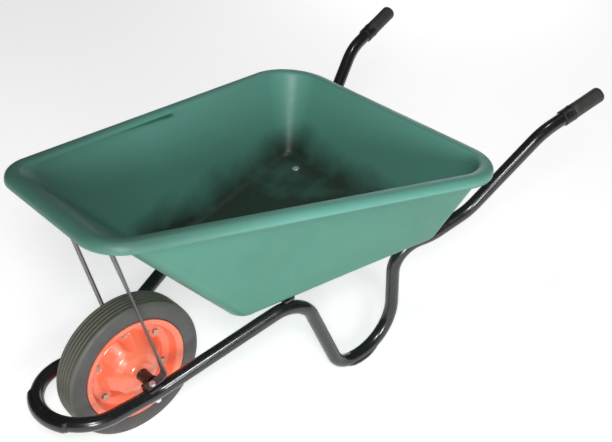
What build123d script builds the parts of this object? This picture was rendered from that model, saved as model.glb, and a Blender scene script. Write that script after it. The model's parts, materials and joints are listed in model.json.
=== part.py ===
"""Single-wheel builder's barrow: tubular frame, moulded tray, solid-tyred pressed-steel wheel.

Every dimension is in millimetres. While the pieces are made, X = 0 and Y = 0 is the middle of
the wheel's axle line, +X runs back towards the handles and -Y is the barrow's left side. The
ground is at ground_z(), a little below Z = 0. The last step moves everything so that the origin
is on the ground under the middle of the barrow.
"""
from build123d import *
import math
import os

# ---------------------------------------------------------------- driving dimensions
# frame tube
TUBE_R = 16.0
TUBE_WALL = 2.0
HANDLE_END = (1134.0, 348.0, 565.2)
HANDLE_BEND = (969.0, 320.0, 513.0)
TRAY_BEND = (796.0, 260.0, 342.0)
REAR_REST = (705.0, 230.0, 297.0)
LEG_TOP = (612.0, 200.0, 286.0)
FOOT_REAR = (620.0, 196.0)
FOOT_FRONT = (452.0, 190.0)
FRONT_TOP = (338.0, 188.0, 280.0)
RAIL_BEND_X = -5.0
BEND_RADII = (140.0, 140.0, 140.0, 75.0, 112.0, 65.0, 75.0, 120.0)
NOSE_Z = 149.0
NOSE_R = 106.0
NOSE_CENTRE_X = -107.0

# wheel
WHEEL_R = 164.5
AXLE_Z = 162.0
TYRE_HALF = 33.0
TYRE_BASE_R = 109.0
GROOVES = 5
GROOVE_PITCH = 9.5
GROOVE_W = 3.0
GROOVE_DEPTH = 3.5
SHEET = 2.5
RIM_BOLT_CIRCLE = 88.0
RIM_BOLTS = 6
RIM_BOLT_PHASE = -6.6
BOSS_Y = 50.0
HUB_R = 14.5
HUB_BORE_R = 11.1
HUB_HALF = 79.0
AXLE_R = 8.0
AXLE_SPIGOT_R = 6.0
BUSH_CLEAR = 0.05
BUSH_LENGTH = 26.0
BUSH_FLANGE = 2.0
BUSH_FLANGE_R = 14.0

# axle brackets and thrust washers
SIDE_GAP = 0.3
WASHER_T = 1.6
CHEEK_T = 4.0
CHEEK_R = 17.0
CHEEK_Y = HUB_HALF + BUSH_FLANGE + SIDE_GAP + WASHER_T + SIDE_GAP
FLANGE_T = 3.5
FLANGE_LENGTH = 34.0
FLANGE_OVERHANG = 13.0

# tray
CREST_Z = 608.2
CREST_SLOPE = -0.126
CREST_FRONT = (-125.4, 185.8)
CREST_REAR = (796.0, 379.4)
CREST_RADII = (72.0, 102.0)
BODY_RADII = (64.0, 74.0)
FLOOR_Z = 257.0
FLOOR_SLOPE = 0.0868
FLOOR_FRONT = (188.0, 164.0)
FLOOR_REAR = (694.0, 271.0)
FLOOR_RADII = (46.0, 36.0)
FLOOR_T = 5.0
FLOOR_INSET = 4.0
FLOOR_FILLET = 26.0
LIP_OUT = 15.0
LIP_IN = 18.0
LIP_DROP = 22.0
LIP_WALL = 4.5
WALL_T = 6.0
LIP_FILLET = 12.0

# tray supports and stays
SUPPORT = (30.0, 6.0)
FRONT_SUPPORT = (308.0, 184.0, 148.0)
REAR_SUPPORT = (649.0, 220.0, 188.0)
STAY_W = 21.0
STAY_T = 4.0
STAY_RADII = (40.0, 14.0)
STAY_Y = 88.0
STAY_PAD = (26.0, 72.0)
STAY_BOLT_DOWN = 44.0
STAY_FOOT = (-15.0, 36.0)
STAY_FOOT_IN = 5.0
STAY_LIFT = 0.6

# shells on the frame, grips
SHOE_T = 5.0
SHOE_FLAT = 1.0
SHOE_X = (480.0, 560.0)
GUARD_T = 4.5
GUARD_ARC = 76.0
GUARD_TOP_ANGLE = 52.0
GUARD_SWEEP = 165.0
GRIP_R = 18.6
GRIP_LENGTH = 84.0
COLLAR_R = 19.2
COLLAR_LENGTH = 31.0
GRIP_CAP = 6.0

# fasteners
M8_R = 4.0
M8_HEAD_AF = 13.0
SINK_R = 7.6
SINK_DEPTH = 2.8
STAY_WALL = 4.6
M8_HEAD_H = 5.3
M8_NUT_H = 6.5
M8_WASHER_R = 8.0
M8_WASHER_T = 1.6
CUP_HEAD_R = 9.5
CUP_HEAD_H = 3.6
HOLE_CLEAR = 0.3
SKIN = 0.1


# ---------------------------------------------------------------- helpers
def left(point):
    """The left-hand twin of a point given with a positive width."""
    return (point[0], -point[1], point[2])


def right_of(shape):
    """The right-hand twin of a left-hand piece."""
    return mirror(shape, about=Plane.XZ)


def hex_prism(across_flats, height):
    return extrude(RegularPolygon(across_flats / 2, 6, major_radius=False), height)


def rod(radius, height):
    """A round rod standing on the local XY plane."""
    return extrude(Circle(radius), height)


def ring(outer, inner, height):
    return extrude(Circle(outer) - Circle(inner), height)


def wheel_ring(profile):
    """Revolve a closed list of (radius, y) points round the axle line."""
    face = make_face(Polyline([(y, 0, r) for r, y in profile], close=True))
    turned = revolve(Rot(0, 0, 90) * face, Axis.Y)
    return Pos(0, 0, AXLE_Z) * turned


def sheet_profile(outer, thickness):
    """Close a polyline of (radius, y) points with its own offset, on the side of smaller y."""
    normals = []
    for (r0, y0), (r1, y1) in zip(outer[:-1], outer[1:]):
        length = math.hypot(r1 - r0, y1 - y0)
        normals.append(((y1 - y0) / length, -(r1 - r0) / length))
    back = []
    for i, (r, y) in enumerate(outer):
        before = normals[max(i - 1, 0)]
        after = normals[min(i, len(normals) - 1)]
        mid = (before[0] + after[0], before[1] + after[1])
        scale = thickness * 2 / (mid[0] ** 2 + mid[1] ** 2)
        back.append((r + mid[0] * scale, y + mid[1] * scale))
    return outer + back[::-1]


def floor_z(x):
    """Height of the tray's underside."""
    return FLOOR_Z + FLOOR_SLOPE * x


def crest_z(x):
    """Height of the tray's rim crest."""
    return CREST_Z + CREST_SLOPE * x


# ---------------------------------------------------------------- frame
def ground_z():
    return AXLE_Z - WHEEL_R


def foot_z():
    """Height of the foot tube's middle line; the shoe under it is worn flat on the ground."""
    return ground_z() + TUBE_R + SHOE_T - SHOE_FLAT


def side_points():
    """Corner points of the left half of the frame, from the handle's end to the nose bend."""
    z = foot_z()
    bends = [HANDLE_END, HANDLE_BEND, TRAY_BEND, REAR_REST, LEG_TOP]
    bends += [(*FOOT_REAR, z), (*FOOT_FRONT, z), FRONT_TOP]
    bends += [(RAIL_BEND_X, NOSE_R, NOSE_Z), (NOSE_CENTRE_X, NOSE_R, NOSE_Z)]
    return [left(p) for p in bends]


def side_path():
    run = FilletPolyline(*side_points(), radius=list(BEND_RADII))
    half = NOSE_R * math.sqrt(0.5)
    nose = ThreePointArc(
        (NOSE_CENTRE_X, -NOSE_R, NOSE_Z),
        (NOSE_CENTRE_X - half, -half, NOSE_Z),
        (NOSE_CENTRE_X - NOSE_R, 0, NOSE_Z),
    )
    return Wire(run.edges() + nose.edges())


def tube_along(path, outer, inner):
    start = Plane(origin=path @ 0, z_dir=path % 0)
    return sweep(start * (Circle(outer) - Circle(inner)), path=path)


def frame_tube_left():
    tube = tube_along(side_path(), TUBE_R, TUBE_R - TUBE_WALL)
    return tube - rail_hole()


def nose_spigot():
    """Short inner tube that joins the two halves of the frame at the nose."""
    bore = TUBE_R - TUBE_WALL - SKIN
    arc = CenterArc((NOSE_CENTRE_X, 0, NOSE_Z), NOSE_R, 166, 28)
    return tube_along(Wire(arc.edges()), bore, bore - TUBE_WALL)


def shell_section(inner, outer, start, sweep_angle):
    """A half-ring section; angles run from the local X axis."""
    outside = CenterArc((0, 0), outer, start, sweep_angle)
    inside = CenterArc((0, 0), inner, start, sweep_angle)
    ends = [Line(outside @ 0, inside @ 0), Line(outside @ 1, inside @ 1)]
    return make_face([outside, inside, *ends])


def nose_guard():
    """Wrap-round bumper on the outer and lower side of the nose."""
    start = GUARD_TOP_ANGLE - GUARD_SWEEP
    section = shell_section(TUBE_R + SKIN, TUBE_R + GUARD_T, start, GUARD_SWEEP)
    tip = Plane(origin=(NOSE_CENTRE_X - NOSE_R, 0, NOSE_Z), x_dir=(-1, 0, 0), z_dir=(0, 1, 0))
    axis = Axis((NOSE_CENTRE_X, 0, 0), (0, 0, 1))
    guard = revolve(tip * section, axis, GUARD_ARC)
    centre_angle = math.degrees(math.atan2(guard.center().Y, NOSE_CENTRE_X - guard.center().X))
    return guard.rotate(axis, centre_angle)


def foot_shoe_left():
    """Wear shell under the foot, flat where it stands on the ground."""
    z = foot_z()
    rear = Vector(*left((*FOOT_REAR, z)))
    front = Vector(*left((*FOOT_FRONT, z)))
    up_rear = (Vector(*left(LEG_TOP)) - rear).normalized() * 180
    up_front = (Vector(*left(FRONT_TOP)) - front).normalized() * 100
    corners = [front + up_front, front, rear, rear + up_rear]
    path = FilletPolyline(*corners, radius=[BEND_RADII[5], BEND_RADII[4]])
    shell = tube_along(Wire(path.edges()), TUBE_R + SHOE_T, TUBE_R + SKIN)
    length = SHOE_X[1] - SHOE_X[0]
    middle = (SHOE_X[0] + SHOE_X[1]) / 2
    keep = Box(length, 4 * TUBE_R, z - ground_z(), align=(Align.CENTER, Align.CENTER, Align.MIN))
    keep = Pos(middle, rear.Y, ground_z()) * keep
    return shell & keep


# ---------------------------------------------------------------- tray
def outline(front, rear, radii, inset, z0, slope):
    """Rounded trapezium on a plane tilted along X; inset moves every side inwards."""
    (xf, wf), (xr, wr) = front, rear
    taper = (wr - wf) / (xr - xf)
    side = inset * math.hypot(1, taper)
    wf, wr = wf + taper * inset - side, wr - taper * inset - side
    xf, xr = xf + inset, xr - inset
    stretch = math.hypot(1, slope)
    plane = Plane(origin=(0, 0, z0), x_dir=(1, 0, slope), z_dir=(-slope, 0, 1))
    corners = [(xf * stretch, -wf), (xr * stretch, -wr), (xr * stretch, wr), (xf * stretch, wf)]
    r_front, r_rear = radii[0] - inset, radii[1] - inset
    rounded = FilletPolyline(*corners, radius=[r_front, r_rear, r_rear, r_front], close=True)
    return plane * make_face(rounded)


def crest_outline(inset, radii=CREST_RADII):
    return outline(CREST_FRONT, CREST_REAR, radii, inset, CREST_Z, CREST_SLOPE)


def floor_outline(inset, raised):
    return outline(FLOOR_FRONT, FLOOR_REAR, FLOOR_RADII, inset, FLOOR_Z + raised, FLOOR_SLOPE)


def bowl(bottom, top, radius):
    """Tapering body from one outline to another with its lower edge rounded."""
    body = loft([bottom, top])
    lowest = body.faces().sort_by(Axis.Z)[0]
    return fillet(lowest.edges(), radius)


def tray():
    up = Vector(-CREST_SLOPE, 0, 1).normalized()
    body_top = crest_outline(LIP_IN - WALL_T, BODY_RADII)
    body = bowl(floor_outline(0, 0), body_top, FLOOR_FILLET)
    lip = extrude(crest_outline(-LIP_OUT), -LIP_DROP, dir=up)
    lip = fillet(lip.faces().sort_by(Axis((0, 0, 0), up))[-1].edges(), LIP_FILLET)
    under = extrude(crest_outline(LIP_WALL - LIP_OUT), -2 * LIP_DROP, dir=up)
    under = fillet(under.faces().sort_by(Axis((0, 0, 0), up))[-1].edges(), LIP_FILLET - LIP_WALL)
    under = Pos(*(up * -LIP_WALL)) * under
    hollow = bowl(floor_outline(FLOOR_INSET, FLOOR_T), crest_outline(LIP_IN), FLOOR_FILLET - FLOOR_T)
    mouth = extrude(crest_outline(LIP_IN), LIP_DROP, dir=up)
    shell = (lip - under) + body - hollow - mouth
    for at in tray_bolt_spots():
        shell = shell - at * Pos(0, 0, -FLOOR_T) * rod(M8_R + HOLE_CLEAR, 3 * FLOOR_T)
    for at in stay_bolt_spots():
        shell = shell - at * countersunk(M8_R + HOLE_CLEAR, SINK_R + HOLE_CLEAR, FLOOR_T)
    return shell


def floor_spot(x, y):
    """Local frame on the tray's underside."""
    return Location((x, y, floor_z(x)), (0, -math.degrees(math.atan(FLOOR_SLOPE)), 0))


def tray_bolt_spots():
    """Planes on the tray's underside, facing up, at the four floor bolts."""
    spots = []
    for x, _, bolt_y in (FRONT_SUPPORT, REAR_SUPPORT):
        spots += [floor_spot(x, -bolt_y), floor_spot(x, bolt_y)]
    return spots


# ---------------------------------------------------------------- supports and stays
def support_bar(where):
    """Flat bar lying across both frame tubes, under the tray."""
    x, half_span, bolt_y = where
    width, height = SUPPORT
    bar = extrude(fillet(Rectangle(width, 2 * half_span).vertices(), 5), -height)
    for side in (-1, 1):
        bar = bar - Pos(0, side * bolt_y, -height) * rod(M8_R + HOLE_CLEAR, height)
    return floor_spot(x, 0) * Pos(0, 0, -SKIN) * bar


def front_wall():
    """A point on the outside of the tray's front wall, high up, and the way up the wall."""
    high_x = CREST_FRONT[0] + LIP_IN - WALL_T
    top = Vector(high_x, 0, crest_z(high_x))
    foot = Vector(FLOOR_FRONT[0], 0, floor_z(FLOOR_FRONT[0]))
    way = (top - foot).normalized()
    return top, way


def rail_seat():
    """Local frame on the rail's lowest bend: X back along the tube, Z square to it."""
    corner = Vector(RAIL_BEND_X, -NOSE_R, NOSE_Z)
    back = (Vector(*left(FRONT_TOP)) - corner).normalized()
    ahead = Vector(-1, 0, 0)
    half_turn = math.radians(180 - back.get_angle(ahead)) / 2
    middle = corner + (back + ahead).normalized() * BEND_RADII[-1] * (1 / math.cos(half_turn) - 1)
    tilt = math.degrees(math.atan2((back - ahead).Z, (back - ahead).X))
    return Location(middle, (0, -tilt, 0))


def seat_height():
    """Underside of the bracket flange above the rail's middle line: it bridges the bend."""
    return TUBE_R + FLANGE_LENGTH**2 / 8 / (BEND_RADII[-1] - TUBE_R) + SKIN


def stay_points():
    """Middle line of the left stay, from its pad on the tray to its foot on the rail."""
    top, way = front_wall()
    lift = Vector(-way.Z, 0, way.X) * (STAY_T / 2 + SKIN)
    high = top - way * STAY_PAD[0] + lift
    low = top - way * STAY_PAD[1] + lift
    height = seat_height() + FLANGE_T + STAY_LIFT + STAY_T / 2
    foot = [(rail_seat() * Pos(x, STAY_FOOT_IN, height)).position for x in STAY_FOOT]
    return [(high.X, -STAY_Y, high.Z), (low.X, -STAY_Y, low.Z), foot[1], foot[0]]


def stay_left():
    path = Wire(FilletPolyline(*stay_points(), radius=list(STAY_RADII)).edges())
    start = Plane(origin=path @ 0, x_dir=(0, 1, 0), z_dir=path % 0)
    bar = sweep(start * Rectangle(STAY_W, STAY_T), path=path)
    bar = bar - rail_hole()
    return bar - stay_bolt_spots()[0] * Pos(0, 0, -LIP_DROP) * rod(M8_R + HOLE_CLEAR, 2 * LIP_DROP)


def stay_bolt_spots():
    """Planes on the outside of the front wall at the stay bolts, facing into the tray."""
    top, way = front_wall()
    spot = top - way * STAY_BOLT_DOWN
    inward = Vector(way.Z, 0, -way.X)
    spots = []
    for side in (-1, 1):
        origin = (spot.X, side * STAY_Y, spot.Z)
        spots.append(Plane(origin=origin, x_dir=(0, 1, 0), z_dir=inward).location)
    return spots


# ---------------------------------------------------------------- axle, brackets, wheel
def rail_hole():
    """Drill through the rail, bracket flange and stay foot."""
    return rail_seat() * Pos(0, 0, -2 * TUBE_R) * rod(M8_R + HOLE_CLEAR, 4 * TUBE_R)


def axle_bracket_left():
    """Cheek plate that carries the axle, with a flange bolted down on the rail."""
    disc = extrude(Plane.XZ * Circle(CHEEK_R), CHEEK_T)
    drop = Box(2 * CHEEK_R, CHEEK_T, CHEEK_R, align=(Align.CENTER, Align.MAX, Align.MAX))
    cheek = Pos(0, -CHEEK_Y, AXLE_Z) * (disc + drop)
    seat = rail_seat()
    reach = NOSE_R + FLANGE_OVERHANG - CHEEK_Y
    flange = Pos(0, NOSE_R - CHEEK_Y, seat_height()) * Box(
        FLANGE_LENGTH, reach, FLANGE_T, align=(Align.CENTER, Align.MAX, Align.MIN)
    )
    flange = fillet(flange.edges().filter_by(Axis.Z).group_by(Axis.Y)[0], 6)
    web = Pos(0, NOSE_R - CHEEK_Y, seat_height() + FLANGE_T) * Box(
        FLANGE_LENGTH, CHEEK_T, CHEEK_R, align=(Align.CENTER, Align.MAX, Align.MAX)
    )
    bracket = cheek + seat * (flange + web)
    bore = Pos(0, -CHEEK_Y, AXLE_Z) * extrude(Plane.XZ * Circle(AXLE_SPIGOT_R + SKIN), CHEEK_T)
    return bracket - bore - rail_hole()


def axle():
    """Fixed axle with a smaller spigot in each cheek plate."""
    shoulder = CHEEK_Y - SKIN
    end = CHEEK_Y + CHEEK_T
    main = extrude(Plane.XZ * Circle(AXLE_R), shoulder, both=True)
    spigot = extrude(Plane.XZ * Circle(AXLE_SPIGOT_R), end, both=True)
    rod_end = chamfer(spigot.edges().filter_by(GeomType.CIRCLE), 1)
    return Pos(0, 0, AXLE_Z) * (main + rod_end)


def axle_washers():
    start = HUB_HALF + BUSH_FLANGE + SIDE_GAP
    washer = extrude(Plane.XZ * (Circle(13) - Circle(AXLE_R + SKIN)), WASHER_T)
    near = Pos(0, -start, AXLE_Z) * washer
    return [near, right_of(near)]


def hub_tube():
    tube = extrude(Plane.XZ * (Circle(HUB_R) - Circle(HUB_BORE_R)), HUB_HALF, both=True)
    return Pos(0, 0, AXLE_Z) * tube


def bush_left():
    """Plain bearing bush, flanged on the outside, running on the axle."""
    bore = Circle(AXLE_R + BUSH_CLEAR)
    sleeve = extrude(Plane.XZ * (Circle(HUB_BORE_R - BUSH_CLEAR) - bore), -BUSH_LENGTH)
    flange = extrude(Plane.XZ * (Circle(BUSH_FLANGE_R) - bore), BUSH_FLANGE)
    return Pos(0, -HUB_HALF, AXLE_Z) * (sleeve + flange)


def rim_half_left():
    """Pressed half rim: hub boss, dome, bolted web, tyre seat and flange."""
    face = [(HUB_R + SKIN, BOSS_Y), (29, BOSS_Y), (47, 41), (61, 26), (72, 6), (76, SHEET)]
    face += [(99, SHEET), (102, 5), (107, 24), (112, 29.5), (122.7, 31.0)]
    half = wheel_ring([(r, -y) for r, y in sheet_profile(face, SHEET)])
    for spot in rim_bolt_spots():
        half = half - spot * Pos(0, 0, -SHEET * 2) * rod(M8_R + HOLE_CLEAR, SHEET * 4)
    return half


def rim_bolt_spots():
    """Planes on the wheel's middle plane at the rim bolts, facing left."""
    spots = []
    for i in range(RIM_BOLTS):
        angle = math.radians(RIM_BOLT_PHASE + i * 360 / RIM_BOLTS)
        x = RIM_BOLT_CIRCLE * math.sin(angle)
        z = AXLE_Z + RIM_BOLT_CIRCLE * math.cos(angle)
        spots.append(Location((x, 0, z), (90, 0, 0)))
    return spots


def tyre():
    """Solid rubber tyre with a grooved tread and a foot between the rim flanges."""
    half = [(TYRE_BASE_R, 19), (113.5, 25.5), (123.4, 27.6), (124.6, 29.2), (131, 31.2)]
    half += [(143, TYRE_HALF), (153, 32.4), (159, 31), (162.3, 28.6), (164.1, 25)]
    edge = list(half)
    first = (GROOVES - 1) / 2 * GROOVE_PITCH
    for i in range(GROOVES):
        y = first - i * GROOVE_PITCH
        edge += [(WHEEL_R, y + GROOVE_W / 2), (WHEEL_R - GROOVE_DEPTH, y + GROOVE_W / 4)]
        edge += [(WHEEL_R - GROOVE_DEPTH, y - GROOVE_W / 4), (WHEEL_R, y - GROOVE_W / 2)]
    edge += [(r, -y) for r, y in reversed(half)]
    return wheel_ring(edge)


# ---------------------------------------------------------------- grips
def handle_frame():
    """Plane at the handle's end, facing along the left handle, away from the barrow."""
    end = Vector(*left(HANDLE_END))
    way = (end - Vector(*left(HANDLE_BEND))).normalized()
    return Plane(origin=end, z_dir=way).location


def grip_left():
    """Rubber sleeve with a closed, rounded end."""
    body = Pos(0, 0, -GRIP_LENGTH) * rod(GRIP_R, GRIP_LENGTH + GRIP_CAP)
    body = fillet(body.edges().sort_by(Axis.Z)[-1], 7)
    bore = Pos(0, 0, -GRIP_LENGTH) * rod(TUBE_R + SKIN, GRIP_LENGTH + SKIN)
    return handle_frame() * (body - bore)


def grip_collar_left():
    """Thicker ring at the grip's mouth."""
    collar = ring(COLLAR_R, TUBE_R + SKIN, COLLAR_LENGTH)
    outer = collar.edges().filter_by(GeomType.CIRCLE).sort_by(SortBy.RADIUS)[-2:]
    collar = fillet(outer, 1.6)
    return handle_frame() * Pos(0, 0, -GRIP_LENGTH - COLLAR_LENGTH - SKIN) * collar


# ---------------------------------------------------------------- fasteners
def hex_bolt(length):
    """Hexagon bolt hanging from the local XY plane, head above it."""
    head = hex_prism(M8_HEAD_AF, M8_HEAD_H)
    crown = rod(M8_HEAD_AF * 0.56, M8_HEAD_H)
    crown = chamfer(crown.edges().sort_by(Axis.Z)[-1], 0.9)
    shank = Pos(0, 0, -length) * rod(M8_R, length)
    return (head & crown) + shank


def cup_bolt(length):
    """Round-headed bolt, head above the local XY plane."""
    head = rod(CUP_HEAD_R, CUP_HEAD_H)
    head = fillet(head.edges().sort_by(Axis.Z)[-1], CUP_HEAD_H - 0.3)
    return head + Pos(0, 0, -length) * rod(M8_R, length)


def countersunk(radius, head_radius, length):
    """Rod out through the front wall with a cone whose wide end is at the wall's inner face."""
    cone = Cone(radius, head_radius, SINK_DEPTH, align=(Align.CENTER, Align.CENTER, Align.MAX))
    return Pos(0, 0, STAY_WALL) * (cone + Pos(0, 0, -STAY_WALL - length) * rod(radius, STAY_WALL + length))


def hex_nut():
    """Nut hanging from the local XY plane, bored to clear the shank."""
    nut = hex_prism(M8_HEAD_AF, M8_NUT_H) - rod(M8_R + SKIN, M8_NUT_H)
    return Pos(0, 0, -M8_NUT_H) * nut


def washer():
    """Washer hanging from the local XY plane."""
    return Pos(0, 0, -M8_WASHER_T) * ring(M8_WASHER_R, M8_R + HOLE_CLEAR, M8_WASHER_T)


def axle_fasteners():
    """Bolt down through stay foot, bracket flange and rail, with washer and nut below."""
    height = seat_height() + FLANGE_T + STAY_LIFT + STAY_T + STAY_LIFT
    bolt = rail_seat() * Pos(0, 0, height) * hex_bolt(height + TUBE_R + 12)
    below = rail_seat() * Pos(0, 0, -TUBE_R - SKIN)
    nut = below * Pos(0, 0, -M8_WASHER_T - SKIN) * hex_nut()
    return bolt, below * washer(), nut


def tray_fasteners():
    """Cup-head bolts down through the tray floor and the supports."""
    bolts, washers, nuts = [], [], []
    depth = SUPPORT[1]
    for spot in tray_bolt_spots():
        bolts.append(spot * Pos(0, 0, FLOOR_T + 2 * SKIN) * cup_bolt(FLOOR_T + depth + 13))
        under = spot * Pos(0, 0, -depth - 3 * SKIN)
        washers.append(under * washer())
        nuts.append(under * Pos(0, 0, -M8_WASHER_T - SKIN) * hex_nut())
    return bolts, washers, nuts


def stay_fasteners():
    """Countersunk bolts out through the tray's front wall and the stay pads."""
    bolts, washers, nuts = [], [], []
    for spot in stay_bolt_spots():
        bolts.append(spot * Pos(0, 0, SKIN) * countersunk(M8_R, SINK_R, STAY_T + 13))
        under = spot * Pos(0, 0, -STAY_T - 3 * SKIN)
        washers.append(under * washer())
        nuts.append(under * Pos(0, 0, -M8_WASHER_T - SKIN) * hex_nut())
    return bolts, washers, nuts


def rim_fasteners():
    bolts, nuts = [], []
    for spot in rim_bolt_spots():
        bolts.append(spot * Pos(0, 0, SHEET + SKIN) * hex_bolt(2 * SHEET + 11))
        nuts.append(spot * Pos(0, 0, -SHEET - SKIN) * hex_nut())
    return bolts, nuts


# ---------------------------------------------------------------- assembly
def build():
    """All nodes by name, still in the axle's frame."""
    axle_bolt, axle_washer, axle_nut = axle_fasteners()
    tray_bolts, tray_washers, tray_nuts = tray_fasteners()
    stay_bolts, stay_washers, stay_nuts = stay_fasteners()
    rim_bolts, rim_nuts = rim_fasteners()
    nodes = {
        "nose_spigot": nose_spigot(),
        "nose_guard": nose_guard(),
        "tray_support_front": support_bar(FRONT_SUPPORT),
        "tray_support_rear": support_bar(REAR_SUPPORT),
        "axle": axle(),
        "axle_thrust_washers": axle_washers(),
        "tray": tray(),
        "tray_bolts": tray_bolts,
        "tray_bolt_washers": tray_washers,
        "tray_bolt_nuts": tray_nuts,
        "stay_bolts": stay_bolts,
        "stay_bolt_washers": stay_washers,
        "stay_bolt_nuts": stay_nuts,
        "tyre": tyre(),
        "hub_tube": hub_tube(),
        "rim_bolts": rim_bolts,
        "rim_nuts": rim_nuts,
        "axle_bolts": [axle_bolt, right_of(axle_bolt)],
        "axle_bolt_washers": [axle_washer, right_of(axle_washer)],
        "axle_bolt_nuts": [axle_nut, right_of(axle_nut)],
    }
    pairs = {
        "frame_tube": frame_tube_left,
        "foot_shoe": foot_shoe_left,
        "axle_bracket": axle_bracket_left,
        "stay": stay_left,
        "grip": grip_left,
        "grip_collar": grip_collar_left,
        "rim_half": rim_half_left,
        "bush": bush_left,
    }
    for name, make in pairs.items():
        piece = make()
        nodes[name + "_left"] = piece
        nodes[name + "_right"] = right_of(piece)
    return nodes


def as_shape(piece):
    """One shape for a node: a single piece or a group of separate solids."""
    if isinstance(piece, list):
        return Compound(children=[solid for part in piece for solid in part.solids()])
    return piece


def main():
    os.makedirs("parts", exist_ok=True)
    shapes = {name: as_shape(piece) for name, piece in build().items()}
    boxes = [shape.bounding_box() for shape in shapes.values()]
    middle = (min(b.min.X for b in boxes) + max(b.max.X for b in boxes)) / 2
    for name, shape in shapes.items():
        export_step(Pos(-middle, 0, -ground_z()) * shape, f"parts/{name}.step")
    print(f"axle at x = {-middle:.3f} mm, z = {WHEEL_R} mm")


main()
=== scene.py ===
import json
import math

import bmesh
import bpy
from mathutils import Matrix, Vector


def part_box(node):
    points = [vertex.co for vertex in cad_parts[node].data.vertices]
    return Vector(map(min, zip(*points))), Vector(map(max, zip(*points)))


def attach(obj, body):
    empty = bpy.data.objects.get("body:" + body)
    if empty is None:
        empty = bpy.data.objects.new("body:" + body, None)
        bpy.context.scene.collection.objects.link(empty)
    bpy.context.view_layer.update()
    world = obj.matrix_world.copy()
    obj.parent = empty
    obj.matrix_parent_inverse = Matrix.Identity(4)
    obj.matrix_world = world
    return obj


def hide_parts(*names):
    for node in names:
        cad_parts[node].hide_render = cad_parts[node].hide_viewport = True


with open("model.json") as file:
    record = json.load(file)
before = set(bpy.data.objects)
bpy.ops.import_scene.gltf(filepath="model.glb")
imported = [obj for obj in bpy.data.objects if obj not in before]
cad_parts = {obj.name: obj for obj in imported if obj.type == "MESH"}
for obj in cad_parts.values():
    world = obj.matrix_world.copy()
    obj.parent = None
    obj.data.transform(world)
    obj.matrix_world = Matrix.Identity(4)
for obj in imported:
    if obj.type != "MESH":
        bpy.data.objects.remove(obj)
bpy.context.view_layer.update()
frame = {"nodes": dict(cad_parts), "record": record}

# Dimensions are in millimetres, X back and Y to the right from the middle of the axle line, with
# the axle at WHEEL_Z; place() turns them into the frame's metres.
AXLE_LOW, AXLE_HIGH = (Vector(corner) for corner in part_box("axle"))
AXLE_X = (AXLE_LOW.x + AXLE_HIGH.x) / 2
WHEEL_Z = 162.0
GROUND_Z = (AXLE_LOW.z + AXLE_HIGH.z) / 2 - WHEEL_Z / 1000


def place(x, y, z):
    """A point in the frame's metres."""
    return Vector((x / 1000 + AXLE_X, y / 1000, z / 1000 + GROUND_Z))


# ---------------------------------------------------------------- camera and light
SENSOR = 36
IMAGE_WIDTH = 612
FOCAL_PX = 1025.54
YAW, PITCH, ROLL = (math.radians(a) for a in (41.496, 33.083, -0.183))
CAMERA_AT = (-841.6, -1535.3, 1642.5)
FLOOR_GREY = 0.93
FLOOR_GLOW = 0.6
SKY = 0.07
# name, place, target (both in metres), size, watts
LIGHTS = [
    ("key", (-1.9, -3.0, 1.2), (0, 0, 0.35), 0.9, 64),
    ("flash", (-1.5, -1.9, 2.3), (0, 0, 0.3), 0.6, 32),
    ("top", (0.4, -0.5, 3.6), (0.1, -0.3, 0.2), 0.4, 14),
    ("back", (2.4, 1.6, 0.9), (0.2, 0, 0.4), 1.4, 7),
]


def make_camera():
    data = bpy.data.cameras.new("camera")
    data.sensor_width = SENSOR
    data.lens = SENSOR * FOCAL_PX / IMAGE_WIDTH
    camera = bpy.data.objects.new("camera", data)
    ahead = Vector((
        math.sin(YAW) * math.cos(PITCH), math.cos(YAW) * math.cos(PITCH), -math.sin(PITCH)
    ))
    right = Vector((math.cos(YAW), -math.sin(YAW), 0))
    up = right.cross(ahead)
    turned = right * math.cos(ROLL) + up * math.sin(ROLL)
    up = up * math.cos(ROLL) - right * math.sin(ROLL)
    axes = Matrix((turned, up, -ahead)).transposed().to_4x4()
    camera.matrix_world = Matrix.Translation(place(*CAMERA_AT)) @ axes
    bpy.context.collection.objects.link(camera)
    bpy.context.scene.camera = camera


def area_light(name, at, target, size, power):
    data = bpy.data.lights.new(name, "AREA")
    data.shape = "DISK"
    data.size = size
    data.energy = power
    light = bpy.data.objects.new(name, data)
    light.location = at
    light.rotation_euler = (Vector(target) - Vector(at)).to_track_quat("-Z", "Y").to_euler()
    bpy.context.collection.objects.link(light)


def make_stage():
    bpy.ops.mesh.primitive_plane_add(size=30, location=(0, 0, 0))
    floor = bpy.context.object
    floor.name = "floor"
    material = bpy.data.materials.new("floor")
    material.use_nodes = True
    shader = material.node_tree.nodes["Principled BSDF"]
    shader.inputs["Base Color"].default_value = (FLOOR_GREY, FLOOR_GREY, FLOOR_GREY, 1)
    shader.inputs["Roughness"].default_value = 0.9
    shader.inputs["Specular IOR Level"].default_value = 0.1
    shader.inputs["Emission Color"].default_value = (1, 1, 1, 1)
    shader.inputs["Emission Strength"].default_value = FLOOR_GLOW
    floor.data.materials.append(material)
    world = bpy.data.worlds.new("world")
    bpy.context.scene.world = world
    world.use_nodes = True
    background = world.node_tree.nodes["Background"]
    background.inputs["Color"].default_value = (1, 1, 1, 1)
    background.inputs["Strength"].default_value = SKY
    for light in LIGHTS:
        area_light(*light)
    bpy.context.scene.view_settings.view_transform = "Standard"


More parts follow.
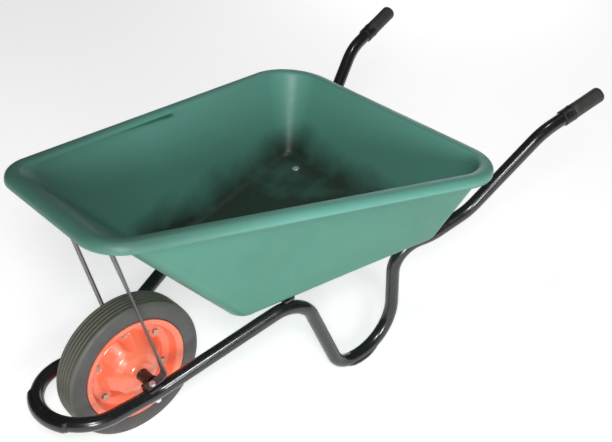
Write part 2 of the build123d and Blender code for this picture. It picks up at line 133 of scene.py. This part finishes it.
# ---------------------------------------------------------------- materials
class Nodes:
    """Small helper that wires one object-space material."""

    def __init__(self, name):
        self.material = bpy.data.materials.new(name)
        self.material.use_nodes = True
        self.tree = self.material.node_tree
        self.shader = self.tree.nodes["Principled BSDF"]
        self.coords = self.tree.nodes.new("ShaderNodeTexCoord").outputs["Object"]

    def link(self, a, b):
        self.tree.links.new(a, b)

    def split(self, vector):
        """X, Y and Z of a vector."""
        node = self.tree.nodes.new("ShaderNodeSeparateXYZ")
        self.link(vector, node.inputs[0])
        return node.outputs

    def colour(self):
        """The colour wired so far."""
        return self.shader.inputs["Base Color"].links[0].from_socket

    def scaled(self, scale):
        """Object coordinates stretched by a vector."""
        mapping = self.tree.nodes.new("ShaderNodeMapping")
        mapping.inputs["Scale"].default_value = scale
        self.link(self.coords, mapping.inputs["Vector"])
        return mapping.outputs["Vector"]

    def noise(self, scale, detail=3.0, rough=0.55, coords=None):
        node = self.tree.nodes.new("ShaderNodeTexNoise")
        node.inputs["Scale"].default_value = scale
        node.inputs["Detail"].default_value = detail
        node.inputs["Roughness"].default_value = rough
        self.link(coords or self.coords, node.inputs["Vector"])
        return node.outputs["Fac"]

    def remap(self, value, a, b, low, high):
        node = self.tree.nodes.new("ShaderNodeMapRange")
        node.inputs["From Min"].default_value = a
        node.inputs["From Max"].default_value = b
        node.inputs["To Min"].default_value = low
        node.inputs["To Max"].default_value = high
        self.link(value, node.inputs["Value"])
        return node.outputs["Result"]

    def maths(self, kind, a, b):
        node = self.tree.nodes.new("ShaderNodeMath")
        node.operation = kind
        for value, socket in ((a, node.inputs[0]), (b, node.inputs[1])):
            if isinstance(value, (int, float)):
                socket.default_value = value
            else:
                self.link(value, socket)
        return node.outputs[0]

    def blend(self, factor, a, b):
        node = self.tree.nodes.new("ShaderNodeMix")
        node.data_type = "RGBA"
        sockets = [s for s in node.inputs if s.type == "RGBA"]
        for value, socket in zip((a, b), sockets):
            if isinstance(value, tuple):
                socket.default_value = (*value, 1)
            else:
                self.link(value, socket)
        self.link(factor, node.inputs["Factor"])
        return next(s for s in node.outputs if s.type == "RGBA")

    def bump(self, height, strength, distance):
        node = self.tree.nodes.new("ShaderNodeBump")
        node.inputs["Strength"].default_value = strength
        node.inputs["Distance"].default_value = distance
        self.link(height, node.inputs["Height"])
        return node.outputs["Normal"]


COAT_ROUGH = 0.08
SPECK_EDGE = 0.06


def shade(colour, factor):
    return tuple(min(1.0, value * factor) for value in colour)


def finish_material(name, colour, rough, metal=0.0, coat=0.0, mottle=(9, 0.12), spread=0.08,
                    grain=(700, 0.15, 0.0002), specks=None):
    """Mottled colour, uneven roughness and a fine surface grain, with optional pale specks.

    mottle is (noise scale, amount), grain (noise scale, strength, depth in metres), and specks
    (noise scale, threshold, colour, strength).
    """
    n = Nodes(name)
    scale, amount = mottle
    cloud = n.noise(scale, 4)
    tint = n.remap(cloud, 0.3, 0.7, 0, 1)
    base = n.blend(tint, shade(colour, 1 - amount), shade(colour, 1 + amount))
    if specks:
        speck_scale, threshold, speck_colour, strength = specks
        spots = n.noise(speck_scale, 6, 0.7)
        mask = n.remap(spots, threshold, threshold + SPECK_EDGE, 0, strength)
        base = n.blend(mask, base, speck_colour)
    n.link(base, n.shader.inputs["Base Color"])
    patches = n.noise(scale * 3.7, 5, 0.65)
    n.link(n.remap(patches, 0.3, 0.7, rough - spread, rough + spread), n.shader.inputs["Roughness"])
    n.shader.inputs["Metallic"].default_value = metal
    n.shader.inputs["Coat Weight"].default_value = coat
    n.shader.inputs["Coat Roughness"].default_value = COAT_ROUGH
    grain_scale, strength, distance = grain
    n.link(n.bump(n.noise(grain_scale, 2), strength, distance), n.shader.inputs["Normal"])
    return n


# Where each part of the inside's look starts and is full. The first is the Z of a face's normal,
# the two for the painted shade are in metres in the frame, and the last is a level of noise.
INSIDE_NORMAL = (-0.14, -0.02)
SHADE_HEIGHT = (0.39, 0.31)
SHADE_FRONT = (-0.2, -0.5)
SCRATCH_LEVEL = (0.66, 0.7)
# A lighter green for the up-facing inside faces: painted light for the lit inner walls, over some
# real fading.
LIT_FADED_GREEN = (0.142, 0.39, 0.32)
SCRATCH_GREEN = (0.3, 0.42, 0.36)
# Two dark brownish tones of painted shade, mottled together, for the inside's floor and front.
DARK_SHADE = (0.012, 0.024, 0.014)
PALE_SHADE = (0.03, 0.036, 0.02)


def tray_material():
    """Green moulded plastic, scratched inside; the up-facing inside faces are lightened by painted
    light over some fading, and the floor, the lower walls and the front wall carry a dark painted
    shade.
    """
    n = finish_material(
        "tray_plastic", (0.052, 0.21, 0.152), 0.42, mottle=(5, 0.06), spread=0.07,
        grain=(900, 0.12, 0.0002), specks=(38, 0.72, (0.4, 0.52, 0.45), 0.3),
    )
    place_of = n.split(n.coords)
    geometry = n.tree.nodes.new("ShaderNodeNewGeometry")
    normal = n.split(geometry.outputs["Normal"])
    inside = n.remap(normal["Z"], *INSIDE_NORMAL, 0, 1)
    # Up-facing inside faces are lightened: painted light, over some fading.
    lit_faded = n.blend(n.maths("MULTIPLY", inside, 0.8), n.colour(), LIT_FADED_GREEN)
    # Painted shade: inside faces get darker towards the floor and towards the front wall.
    wavy = n.maths("ADD", place_of["Z"], n.remap(n.noise(6, 4), 0.3, 0.7, -0.03, 0.03))
    low = n.remap(wavy, *SHADE_HEIGHT, 0, 0.92)
    front = n.remap(place_of["X"], *SHADE_FRONT, 0, 0.5)
    shade_mask = n.maths("MULTIPLY", inside, n.maths("MAXIMUM", low, front))
    shade_tone = n.blend(n.noise(45, 6, 0.7), DARK_SHADE, PALE_SHADE)
    shaded = n.blend(shade_mask, lit_faded, shade_tone)
    streaks = n.noise(20, 5, 0.75, n.scaled((1, 9, 4)))
    scratches = n.maths("MULTIPLY", n.remap(streaks, *SCRATCH_LEVEL, 0, 0.16), inside)
    n.link(n.blend(scratches, shaded, SCRATCH_GREEN), n.shader.inputs["Base Color"])
    return n.material


DUST_RADIUS = (0.1575, 0.1615)
DUST = (0.125, 0.125, 0.095)


def tyre_material():
    """Black rubber, greyed by dust over the tread."""
    n = finish_material(
        "tyre_rubber", (0.078, 0.078, 0.075), 0.55, mottle=(22, 0.12), spread=0.1,
        grain=(800, 0.35, 0.0003), specks=(70, 0.62, (0.14, 0.135, 0.11), 0.45),
    )
    place_of = n.split(n.coords)
    across = n.maths("SUBTRACT", place_of["X"], AXLE_X)
    up = n.maths("SUBTRACT", place_of["Z"], GROUND_Z + WHEEL_Z / 1000)
    square = n.maths("ADD", n.maths("MULTIPLY", across, across), n.maths("MULTIPLY", up, up))
    dust = n.remap(n.maths("POWER", square, 0.5), *DUST_RADIUS, 0, 0.85)
    n.link(n.blend(dust, n.colour(), DUST), n.shader.inputs["Base Color"])
    return n.material


PLAIN_FINISHES = {
    "frame_paint": dict(
        colour=(0.011, 0.011, 0.013), rough=0.26, coat=0.4, mottle=(12, 0.25),
        grain=(110, 0.04, 0.0003), specks=(160, 0.76, (0.1, 0.095, 0.085), 0.3),
    ),
    "rim_paint": dict(
        colour=(0.93, 0.2, 0.105), rough=0.24, coat=0.35, mottle=(14, 0.05),
        grain=(150, 0.04, 0.0003), specks=(120, 0.75, (0.5, 0.2, 0.12), 0.3),
    ),
    "stay_steel": dict(
        colour=(0.075, 0.075, 0.077), rough=0.38, mottle=(25, 0.15),
        grain=(500, 0.15, 0.0002), specks=(150, 0.7, (0.2, 0.19, 0.17), 0.4),
    ),
    "grip_rubber": dict(
        colour=(0.04, 0.04, 0.037), rough=0.55, mottle=(30, 0.12), grain=(1100, 0.4, 0.0003),
    ),
    "collar_rubber": dict(
        colour=(0.012, 0.012, 0.012), rough=0.4, mottle=(30, 0.15), grain=(900, 0.3, 0.0002),
    ),
    "bush_nylon": dict(colour=(0.03, 0.03, 0.03), rough=0.4, mottle=(60, 0.1)),
    "zinc": dict(
        colour=(0.78, 0.79, 0.8), rough=0.42, metal=0.75, mottle=(120, 0.12),
        grain=(1500, 0.2, 0.0001), specks=(400, 0.66, (0.45, 0.42, 0.38), 0.5),
    ),
    "rim_bolt_steel": dict(
        colour=(0.45, 0.43, 0.34), rough=0.45, metal=0.8, mottle=(150, 0.15),
        grain=(1500, 0.2, 0.0001), specks=(350, 0.64, (0.3, 0.2, 0.12), 0.5),
    ),
    "axle_steel": dict(colour=(0.4, 0.4, 0.4), rough=0.35, metal=1.0, mottle=(100, 0.15)),
    # Zinc darkened to a green painted shade, with pale specks, for the bolts in the tray's shaded
    # front.
    "shaded_zinc": dict(
        colour=(0.09, 0.13, 0.11), rough=0.65, metal=0.2, mottle=(200, 0.2),
        grain=(1500, 0.3, 0.0001), specks=(400, 0.66, (0.2, 0.2, 0.16), 0.5),
    ),
}
# Nodes whose look differs from their slot's: the stay bolts take a dark green painted shade, where
# they sit on the tray's shaded front wall.
SHADED_NODES = {"stay_bolts": "shaded_zinc"}
MATERIALS = {}


def make_materials():
    MATERIALS["tray_plastic"] = tray_material()
    MATERIALS["tyre_rubber"] = tyre_material()
    for name, look in PLAIN_FINISHES.items():
        MATERIALS[name] = finish_material(name, **look).material


def coat_cad_nodes():
    """Gives every carried-over CAD node its detailed material."""
    slots = {s["node"]: s["material_slot"] for s in frame["record"]["subparts"]}
    for node, obj in frame["nodes"].items():
        for material_slot in obj.material_slots:
            material_slot.material = MATERIALS[SHADED_NODES.get(node, slots[node])]


# ---------------------------------------------------------------- mesh building
def finish_mesh(name, mesh, slot, body, nodes, sharp=38):
    """Cleans normals, marks hard edges and hands the piece to the frame."""
    build = bmesh.new()
    build.from_mesh(mesh)
    bmesh.ops.remove_doubles(build, verts=build.verts, dist=1e-6)
    bmesh.ops.recalc_face_normals(build, faces=build.faces)
    for face in build.faces:
        face.smooth = True
    for edge in build.edges:
        edge.smooth = edge.calc_face_angle(0) < math.radians(sharp)
    build.to_mesh(mesh)
    build.free()
    obj = bpy.data.objects.new(name, mesh)
    bpy.context.collection.objects.link(obj)
    mesh.materials.append(MATERIALS[slot])
    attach(obj, body)
    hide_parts(*nodes)


def ring_mesh(name, rings, joined=False, capped=False):
    """Quads between equal closed rings; joined closes the last ring back to the first."""
    count = len(rings[0])
    verts = [point for ring in rings for point in ring]
    faces = []
    last = len(rings) if joined else len(rings) - 1
    for i in range(last):
        a, b = i * count, (i + 1) % len(rings) * count
        for j in range(count):
            k = (j + 1) % count
            faces.append((a + j, a + k, b + k, b + j))
    if capped:
        faces.append(tuple(range(count)))
        faces.append(tuple(range(len(verts) - count, len(verts))))
    mesh = bpy.data.meshes.new(name)
    mesh.from_pydata(verts, [], faces)
    return mesh


def arc_points(corner, before, after, radius, steps):
    """Points of a tangent arc that rounds a corner."""
    a = (before - corner).normalized()
    b = (after - corner).normalized()
    half = a.angle(b) / 2
    centre = corner + (a + b).normalized() * radius / math.sin(half)
    reach = radius / math.tan(half)
    start = corner + a * reach - centre
    end = corner + b * reach - centre
    total = start.angle(end)
    points = []
    for i in range(steps + 1):
        t = i / steps
        w0 = math.sin((1 - t) * total) / math.sin(total)
        w1 = math.sin(t * total) / math.sin(total)
        points.append(centre + start * w0 + end * w1)
    return points


def tube_route(points, radii, step=2.5):
    """Straight runs joined by arcs, in millimetres."""
    points = [Vector(p) for p in points]
    route = [points[0]]
    for i, radius in enumerate(radii):
        before, corner, after = points[i:i + 3]
        turn = math.pi - (before - corner).angle(after - corner)
        steps = max(4, round(math.degrees(turn) / step))
        route += arc_points(corner, before, after, radius, steps)
    return route + [points[-1]]


def frames_along(route):
    """Parallel-transported (point, side, up) along a route."""
    tangents = []
    for i in range(len(route)):
        a, b = route[max(i - 1, 0)], route[min(i + 1, len(route) - 1)]
        tangents.append((b - a).normalized())
    side = tangents[0].orthogonal().normalized()
    result = []
    for point, tangent in zip(route, tangents):
        side = (side - tangent * side.dot(tangent)).normalized()
        result.append((point, side, tangent.cross(side)))
    return result


def round_ring(point, side, up, radius, sides):
    """One circle of vertices about a point."""
    ring = []
    for j in range(sides):
        a = math.tau * j / sides
        ring.append(place(*(point + side * radius * math.cos(a) + up * radius * math.sin(a))))
    return ring


def swept_round(route, radii, sides=40):
    """Rings of a round sweep, with a radius for each point of the route."""
    return [
        round_ring(point, side, up, radius, sides)
        for (point, side, up), radius in zip(frames_along(route), radii)
    ]


# ---------------------------------------------------------------- frame tubes
TUBE_R = 16.0
TUBE_BORE = 14.0
FOOT_Z = 17.5
NOSE = (-107.0, 106.0, 149.0)
HANDLE = [(1134.0, 348.0, 565.2), (969.0, 320.0, 513.0)]
SIDE_POINTS = HANDLE + [
    (796.0, 260.0, 342.0), (705.0, 230.0, 297.0), (612.0, 200.0, 286.0), (620.0, 196.0, FOOT_Z),
    (452.0, 190.0, FOOT_Z), (338.0, 188.0, 280.0), (-5.0, 106.0, 149.0), NOSE,
]
SIDE_RADII = [140.0, 140.0, 140.0, 75.0, 112.0, 65.0, 75.0, 120.0]
NOSE_STEPS = 36
SEAM_BEVEL = 0.6
# How far before the middle of the nose each half's bevel starts and ends.
SEAM_START = 0.8
SEAM_END = 0.15
SIDES = (("left", -1), ("right", 1))


def mirrored(points, sign):
    return [Vector((p[0], p[1] * sign, p[2])) for p in points]


def make_frame_tubes():
    for word, sign in SIDES:
        route = tube_route(mirrored(SIDE_POINTS, sign), SIDE_RADII)
        x0, radius, z0 = NOSE
        for i in range(1, NOSE_STEPS + 1):
            a = math.radians(90 * i / NOSE_STEPS)
            route.append(Vector((x0 - radius * math.sin(a), sign * radius * math.cos(a), z0)))
        seam = route[-1]
        route[-1] = seam + Vector((0, sign * SEAM_START, 0))
        route.append(seam + Vector((0, sign * SEAM_END, 0)))
        rings = swept_round(route, [TUBE_R] * (len(route) - 1) + [TUBE_R - SEAM_BEVEL])
        bore = swept_round(route, [TUBE_BORE] * len(route))
        mesh = ring_mesh("tube_" + word, rings + bore[::-1], joined=True)
        finish_mesh("tube_" + word, mesh, "frame_paint", "frame", ["frame_tube_" + word])


# ---------------------------------------------------------------- nose guard and foot shoes
def shell_rings(route, wrap, outer, taper, steps=14):
    """Closed rings of a shell part way round the tube; its ends thin out over taper points."""
    rings = []
    count = len(route)
    start, end = wrap
    inner = TUBE_R + SHELL_GAP
    for i, point in enumerate(route):
        way = (route[min(i + 1, count - 1)] - route[max(i - 1, 0)]).normalized()
        side = way.cross(DOWN).normalized()
        down = side.cross(way).normalized()
        from_end = min(i, count - 1 - i) / taper
        thick = (outer - inner) * min(1.0, 0.25 + 0.75 * min(1.0, from_end))
        front, back = [], []
        for k in range(steps + 1):
            t = k / steps
            a = math.radians(start + (end - start) * t)
            edge = min(1.0, 0.4 + 6 * min(t, 1 - t))
            direction = down * math.cos(a) + side * math.sin(a)
            front.append(place(*(point + direction * (inner + thick * edge))))
            back.append(place(*(point + direction * inner)))
        rings.append(front + back[::-1])
    return rings


SHELL_GAP = 0.1
GUARD_ARC = 38
GUARD_HALF_STEPS = 24
GUARD_WRAP = (-23, 142)
GUARD_R = 20.5
SHOE_X = (480.0, 560.0)
SHOE_R = 21.0
SHOE_WRAP = (-66, 66)
FOOT_TOP = 60
DOWN = Vector((0, 0, -1))


def make_guard():
    x0, radius, z0 = NOSE
    route = []
    for i in range(-GUARD_HALF_STEPS, GUARD_HALF_STEPS + 1):
        a = math.radians(GUARD_ARC * i / GUARD_HALF_STEPS)
        outward = Vector((-math.cos(a), math.sin(a), 0))
        route.append(Vector((x0, 0, z0)) + outward * radius)
    rings = shell_rings(route, GUARD_WRAP, GUARD_R, 3)
    mesh = ring_mesh("guard", rings, capped=True)
    finish_mesh("guard", mesh, "frame_paint", "frame", ["nose_guard"], sharp=60)


def make_shoes():
    for word, sign in SIDES:
        full = tube_route(mirrored(SIDE_POINTS, sign), SIDE_RADII, step=1.5)
        low = [p for p in full if SHOE_X[0] < p.x < SHOE_X[1] and p.z < FOOT_TOP]
        rings = shell_rings(low, SHOE_WRAP, SHOE_R, len(low) / 3)
        for ring in rings:
            for point in ring:
                point.z = max(point.z, 0.0)
        mesh = ring_mesh("shoe_" + word, rings, capped=True)
        finish_mesh("shoe_" + word, mesh, "frame_paint", "frame", ["foot_shoe_" + word], sharp=60)


# ---------------------------------------------------------------- stays
STAY_HALF_W = 10.5
STAY_HALF_T = 2.0
STAY_TWIST = {"left": 12.5, "right": 0.0}
STAY_PATH = [
    (-98.0, 88.0, 601.4), (-67.9, 88.0, 566.6), (25.6, 102.4, 180.9), (-24.6, 102.4, 171.8),
]
STAY_RADII = [40.0, 14.0]
STAY_CORNER = 0.7
STAY_STEP = 8
# Heights between which the twist comes in below the tray, and goes out above the foot.
TWIST_TOP = (520, 370)
TWIST_FOOT = (195, 240)


def ramp(value, low, high):
    """Smooth step from 0 at low to 1 at high."""
    t = min(1.0, max(0.0, (value - low) / (high - low)))
    return t * t * (3 - 2 * t)


def make_stays():
    for word, sign in SIDES:
        bends = tube_route(mirrored(STAY_PATH, sign), STAY_RADII)
        route = []
        for a, b in zip(bends[:-1], bends[1:]):
            pieces = max(1, round((b - a).length / STAY_STEP))
            route += [a.lerp(b, k / pieces) for k in range(pieces)]
        route.append(bends[-1])
        rings = []
        for i, point in enumerate(route):
            way = (route[min(i + 1, len(route) - 1)] - route[max(i - 1, 0)]).normalized()
            broad = Vector((0, 1, 0))
            broad = (broad - way * broad.dot(way)).normalized()
            face = way.cross(broad)
            twist = ramp(point.z, *TWIST_TOP) * ramp(point.z, *TWIST_FOOT)
            a = math.radians(STAY_TWIST[word]) * twist
            wide = broad * math.cos(a) + face * math.sin(a)
            thin = face * math.cos(a) - broad * math.sin(a)
            w, t, c = STAY_HALF_W, STAY_HALF_T, STAY_CORNER
            section = [
                (w, t - c), (w - c, t), (c - w, t), (-w, t - c),
                (-w, c - t), (c - w, -t), (w - c, -t), (w, c - t),
            ]
            rings.append([place(*(point + wide * u + thin * v)) for u, v in section])
        mesh = ring_mesh("stay_bar_" + word, rings, capped=True)
        finish_mesh("stay_bar_" + word, mesh, "stay_steel", "frame", ["stay_" + word], sharp=30)


# ---------------------------------------------------------------- grips
# Profiles are (distance past the tube's end, radius).
GRIP_PROFILE = [
    (-84.0, 16.1), (-84.0, 17.9), (-83.2, 18.6), (-70.0, 18.45), (-40.0, 18.3), (-10.0, 18.5),
    (-2.0, 18.6), (1.2, 18.0), (3.6, 16.4), (5.2, 13.8), (5.9, 10.0), (6.0, 0.02),
]
COLLAR_PROFILE = [
    (-115.1, 16.1), (-115.1, 18.2), (-114.4, 19.0), (-113.2, 19.2), (-104.0, 19.1), (-88.0, 19.2),
    (-86.6, 19.9), (-85.4, 19.9), (-84.2, 19.0), (-84.1, 16.1),
]
GRIP_SIDES = 48


def make_grips():
    for word, sign in SIDES:
        end, bend = mirrored(HANDLE, sign)
        way = (end - bend).normalized()
        side = way.orthogonal().normalized()
        up = way.cross(side)
        for name, profile in (("grip", GRIP_PROFILE), ("grip_collar", COLLAR_PROFILE)):
            rings = [round_ring(end + way * s, side, up, r, GRIP_SIDES) for s, r in profile]
            mesh = ring_mesh(name, rings, joined=name == "grip_collar")
            slot = "grip_rubber" if name == "grip" else "collar_rubber"
            finish_mesh(f"{name}_sleeve_{word}", mesh, slot, "frame", [f"{name}_{word}"], sharp=50)


# ---------------------------------------------------------------- wheel
def round_axle(profile, angle):
    """A (radius, y) profile turned to one angle about the axle line."""
    s, c = math.sin(angle), math.cos(angle)
    return [place(r * s, y, WHEEL_Z + r * c) for r, y in profile]


TYRE_R = 164.5
GROOVES = 5
GROOVE_PITCH = 9.5
CROWN_CURVE = 0.0018
TYRE_SEGMENTS = 192


def tyre_profile():
    """Right bead over the grooved crown to the left bead, as (radius, y)."""
    side = [
        (109.0, 19.0), (113.5, 25.5), (122.9, 27.4), (124.4, 28.6), (125.0, 30.0), (126.6, 30.6),
        (128.0, 30.3), (131.0, 31.2), (138.0, 32.6), (146.0, 33.0), (152.0, 32.6), (156.5, 31.8),
        (159.6, 30.4), (161.8, 28.4), (163.2, 25.8),
    ]
    profile = list(side)
    first = (GROOVES - 1) / 2 * GROOVE_PITCH
    for i in range(GROOVES):
        y = first - i * GROOVE_PITCH
        crown = TYRE_R - CROWN_CURVE * y * y
        profile += [(crown, y + 2.6), (crown - 0.5, y + 1.9), (crown - 4.1, y + 1.4)]
        profile += [(crown - 4.5, y)]
        profile += [(crown - 4.1, y - 1.4), (crown - 0.5, y - 1.9), (crown, y - 2.6)]
    return profile + [(r, -y) for r, y in reversed(side)]


HUB_R = 14.6
BOSS_Y = 50.0
WEB_Y = 2.55
SHEET = 2.4
RIM_BOLTS = 6
BOLT_CIRCLE = 88.0
BOLT_PHASE = math.radians(-6.6)
POCKET_R = 15.5
POCKET_SLOPE = 2.1
POCKET_BLEND = 3.0
RIM_SEGMENTS = 288
FACE_RADII = [HUB_R, 20, 26, 28.5, 30, 31.5] + [33.5 + 1.25 * i for i in range(43)]
DOME = [
    (HUB_R, BOSS_Y), (26.5, BOSS_Y), (28.6, 49.2), (30.0, 46.6), (33.0, 45.6), (46.0, 41.0),
    (58.0, 33.0), (68.0, 23.0), (76.0, 12.5), (82.0, 4.5), (85.0, WEB_Y),
]
RIM_WALL = [
    (97.0, WEB_Y), (99.5, 3.0), (101.5, 4.6), (103.0, 7.5), (106.0, 20.0), (107.2, 25.0),
    (109.2, 28.4), (112.0, 29.8), (118.0, 30.3), (120.8, 30.9), (122.2, 31.2), (122.7, 30.6),
]


def along(profile, x):
    """Linear look-up in a list of (x, y) points."""
    for (x0, y0), (x1, y1) in zip(profile[:-1], profile[1:]):
        if x <= x1:
            return y0 + (y1 - y0) * (x - x0) / (x1 - x0)
    return profile[-1][1]


def soft_min(a, b, k):
    """The lower of two values, blended where they are within k of each other."""
    h = max(k - abs(a - b), 0) / k
    return min(a, b) - h * h * k / 4


def rim_height(r, angle):
    """Depth of the pressed face: a dome, cut back by a round pocket at each bolt."""
    bolts = [BOLT_PHASE + k * math.tau / RIM_BOLTS for k in range(RIM_BOLTS)]
    nearest = min(
        math.hypot(
            r * math.sin(angle) - BOLT_CIRCLE * math.sin(bolt),
            r * math.cos(angle) - BOLT_CIRCLE * math.cos(bolt),
        )
        for bolt in bolts
    )
    pocket = WEB_Y + max(nearest - POCKET_R, 0) * POCKET_SLOPE
    return max(WEB_Y, soft_min(along(DOME, r), pocket, POCKET_BLEND))


def make_tyre():
    profile = tyre_profile()
    rings = [round_axle(profile, math.tau * j / TYRE_SEGMENTS) for j in range(TYRE_SEGMENTS)]
    mesh = ring_mesh("tyre_ring", rings, joined=True)
    finish_mesh("tyre_ring", mesh, "tyre_rubber", "wheel", ["tyre"], sharp=60)


def make_rims():
    for word, sign in SIDES:
        rings = []
        for j in range(RIM_SEGMENTS):
            angle = math.tau * j / RIM_SEGMENTS
            front = [(r, rim_height(r, angle)) for r in FACE_RADII] + RIM_WALL
            back = [(r, max(y - SHEET, 0.1)) for r, y in reversed(front)]
            rings.append(round_axle([(r, sign * y) for r, y in front + back], angle))
        mesh = ring_mesh("rim_" + word, rings, joined=True)
        finish_mesh("rim_" + word, mesh, "rim_paint", "wheel", ["rim_half_" + word], sharp=60)


# ---------------------------------------------------------------- tray
# Each outline is a trapezium on a tilted plane: (x, half width) at its front and rear edges, corner
# radii front and rear, and the plane's height and slope along X.
CREST = dict(front=(-125.4, 185.8), rear=(796.0, 379.4), radii=(72.0, 102.0), z=608.2, slope=-0.126)
FLOOR = dict(front=(188.0, 164.0), rear=(694.0, 271.0), radii=(46.0, 36.0), z=257.0, slope=0.0868)
BODY_RADII = (64.0, 74.0)
CORNER_STEPS = 14
SIDE_STEPS = 16
FILLET_STEPS = 8
WALL_STEPS = 14
FLOOR_T = 5.0
WALL_T = 6.0
LIP_IN = 18.0
FLOOR_FILLET = 26.0
WALL_END = 0.965


def outline(shape, inset, lift=0.0):
    """Rounded trapezium on its tilted plane; inset moves every side inwards, lift goes up."""
    (xf, wf), (xr, wr) = shape["front"], shape["rear"]
    taper = (wr - wf) / (xr - xf)
    side = inset * math.hypot(1, taper)
    wf, wr = wf + taper * inset - side, wr - taper * inset - side
    xf, xr = xf + inset, xr - inset
    r_front, r_rear = (r - inset for r in shape["radii"])
    corners = [Vector((xf, -wf)), Vector((xr, -wr)), Vector((xr, wr)), Vector((xf, wf))]
    rounded = []
    for i, radius in enumerate((r_front, r_rear, r_rear, r_front)):
        before, corner, after = corners[i - 1], corners[i], corners[(i + 1) % 4]
        rounded.append(arc_points(corner, before, after, radius, CORNER_STEPS))
    slope = shape["slope"]
    up = Vector((-slope, 0, 1)).normalized() * lift
    ring = []
    for i, arc in enumerate(rounded):
        start, end = arc[-1], rounded[(i + 1) % 4][0]
        flat = arc + [start.lerp(end, s / SIDE_STEPS) for s in range(1, SIDE_STEPS)]
        ring += [Vector((p.x, p.y, shape["z"] + slope * p.x)) + up for p in flat]
    return ring


def filleted(floor_ring, inner_ring, top_ring, radius):
    """Rings that round the edge between the floor and the wall, wall side last."""
    rings = [[] for _ in range(FILLET_STEPS + 1)]
    for corner, inner, top in zip(floor_ring, inner_ring, top_ring):
        for k, point in enumerate(arc_points(corner, inner, top, radius, FILLET_STEPS)):
            rings[k].append(point)
    return rings


def skin(floor_inset, floor_lift, top_ring, radius):
    """Rings from the middle of the floor, round the fillet and up to the top ring."""
    edge = outline(FLOOR, floor_inset, floor_lift)
    inner = outline(FLOOR, floor_inset + 1.0, floor_lift)
    bend = filleted(edge, inner, top_ring, radius)
    x_mid = (FLOOR["front"][0] + FLOOR["rear"][0]) / 2
    middle = Vector((x_mid, 0, FLOOR["z"] + FLOOR["slope"] * x_mid + floor_lift))
    rings = [[middle.lerp(p, k) for p in bend[0]] for k in (0.001, 0.2, 0.4, 0.6, 0.8, 0.95)]
    walls = []
    for k in range(1, WALL_STEPS + 1):
        part = WALL_END * k / WALL_STEPS
        walls.append([p.lerp(q, part) for p, q in zip(bend[-1], top_ring)])
    return rings + bend + walls


# Section of the rolled lip as (out from the crest line, up), from the inner wall over to the outer.
LIP = [
    (-21.0, -8.0), (-19.8, -5.4), (-17.8, -3.3), (-15.0, -1.8), (-11.0, -0.7),
    (-6.0, -0.15), (0.0, -0.3), (4.5, -1.3), (8.5, -3.2), (11.6, -6.0), (13.8, -9.6), (14.8, -13.4),
    (15.0, -17.0), (14.9, -20.6), (14.0, -21.8), (12.6, -22.0), (11.2, -21.6), (10.8, -20.0),
    (10.6, -15.0), (9.6, -11.2), (7.0, -7.8), (2.5, -5.6), (-2.0, -5.2),
    (-6.5, -5.8), (-10.0, -8.0),
]


def make_tray():
    inner_top = outline(CREST, LIP_IN)
    outer_top = outline({**CREST, "radii": BODY_RADII}, LIP_IN - WALL_T)
    inside = skin(4.0, FLOOR_T, inner_top, FLOOR_FILLET - FLOOR_T)
    outside = skin(0.0, 0.0, outer_top, FLOOR_FILLET)
    lip = [outline(CREST, -n, u) for n, u in LIP]
    rings = inside + lip + outside[::-1]
    rings = [[place(*p) for p in ring] for ring in rings]
    mesh = ring_mesh("tray_shell", rings, capped=True)
    finish_mesh("tray_shell", mesh, "tray_plastic", "frame", ["tray"], sharp=70)


make_camera()
make_stage()
make_materials()
coat_cad_nodes()
make_frame_tubes()
make_guard()
make_shoes()
make_stays()
make_grips()
make_tyre()
make_rims()
make_tray()
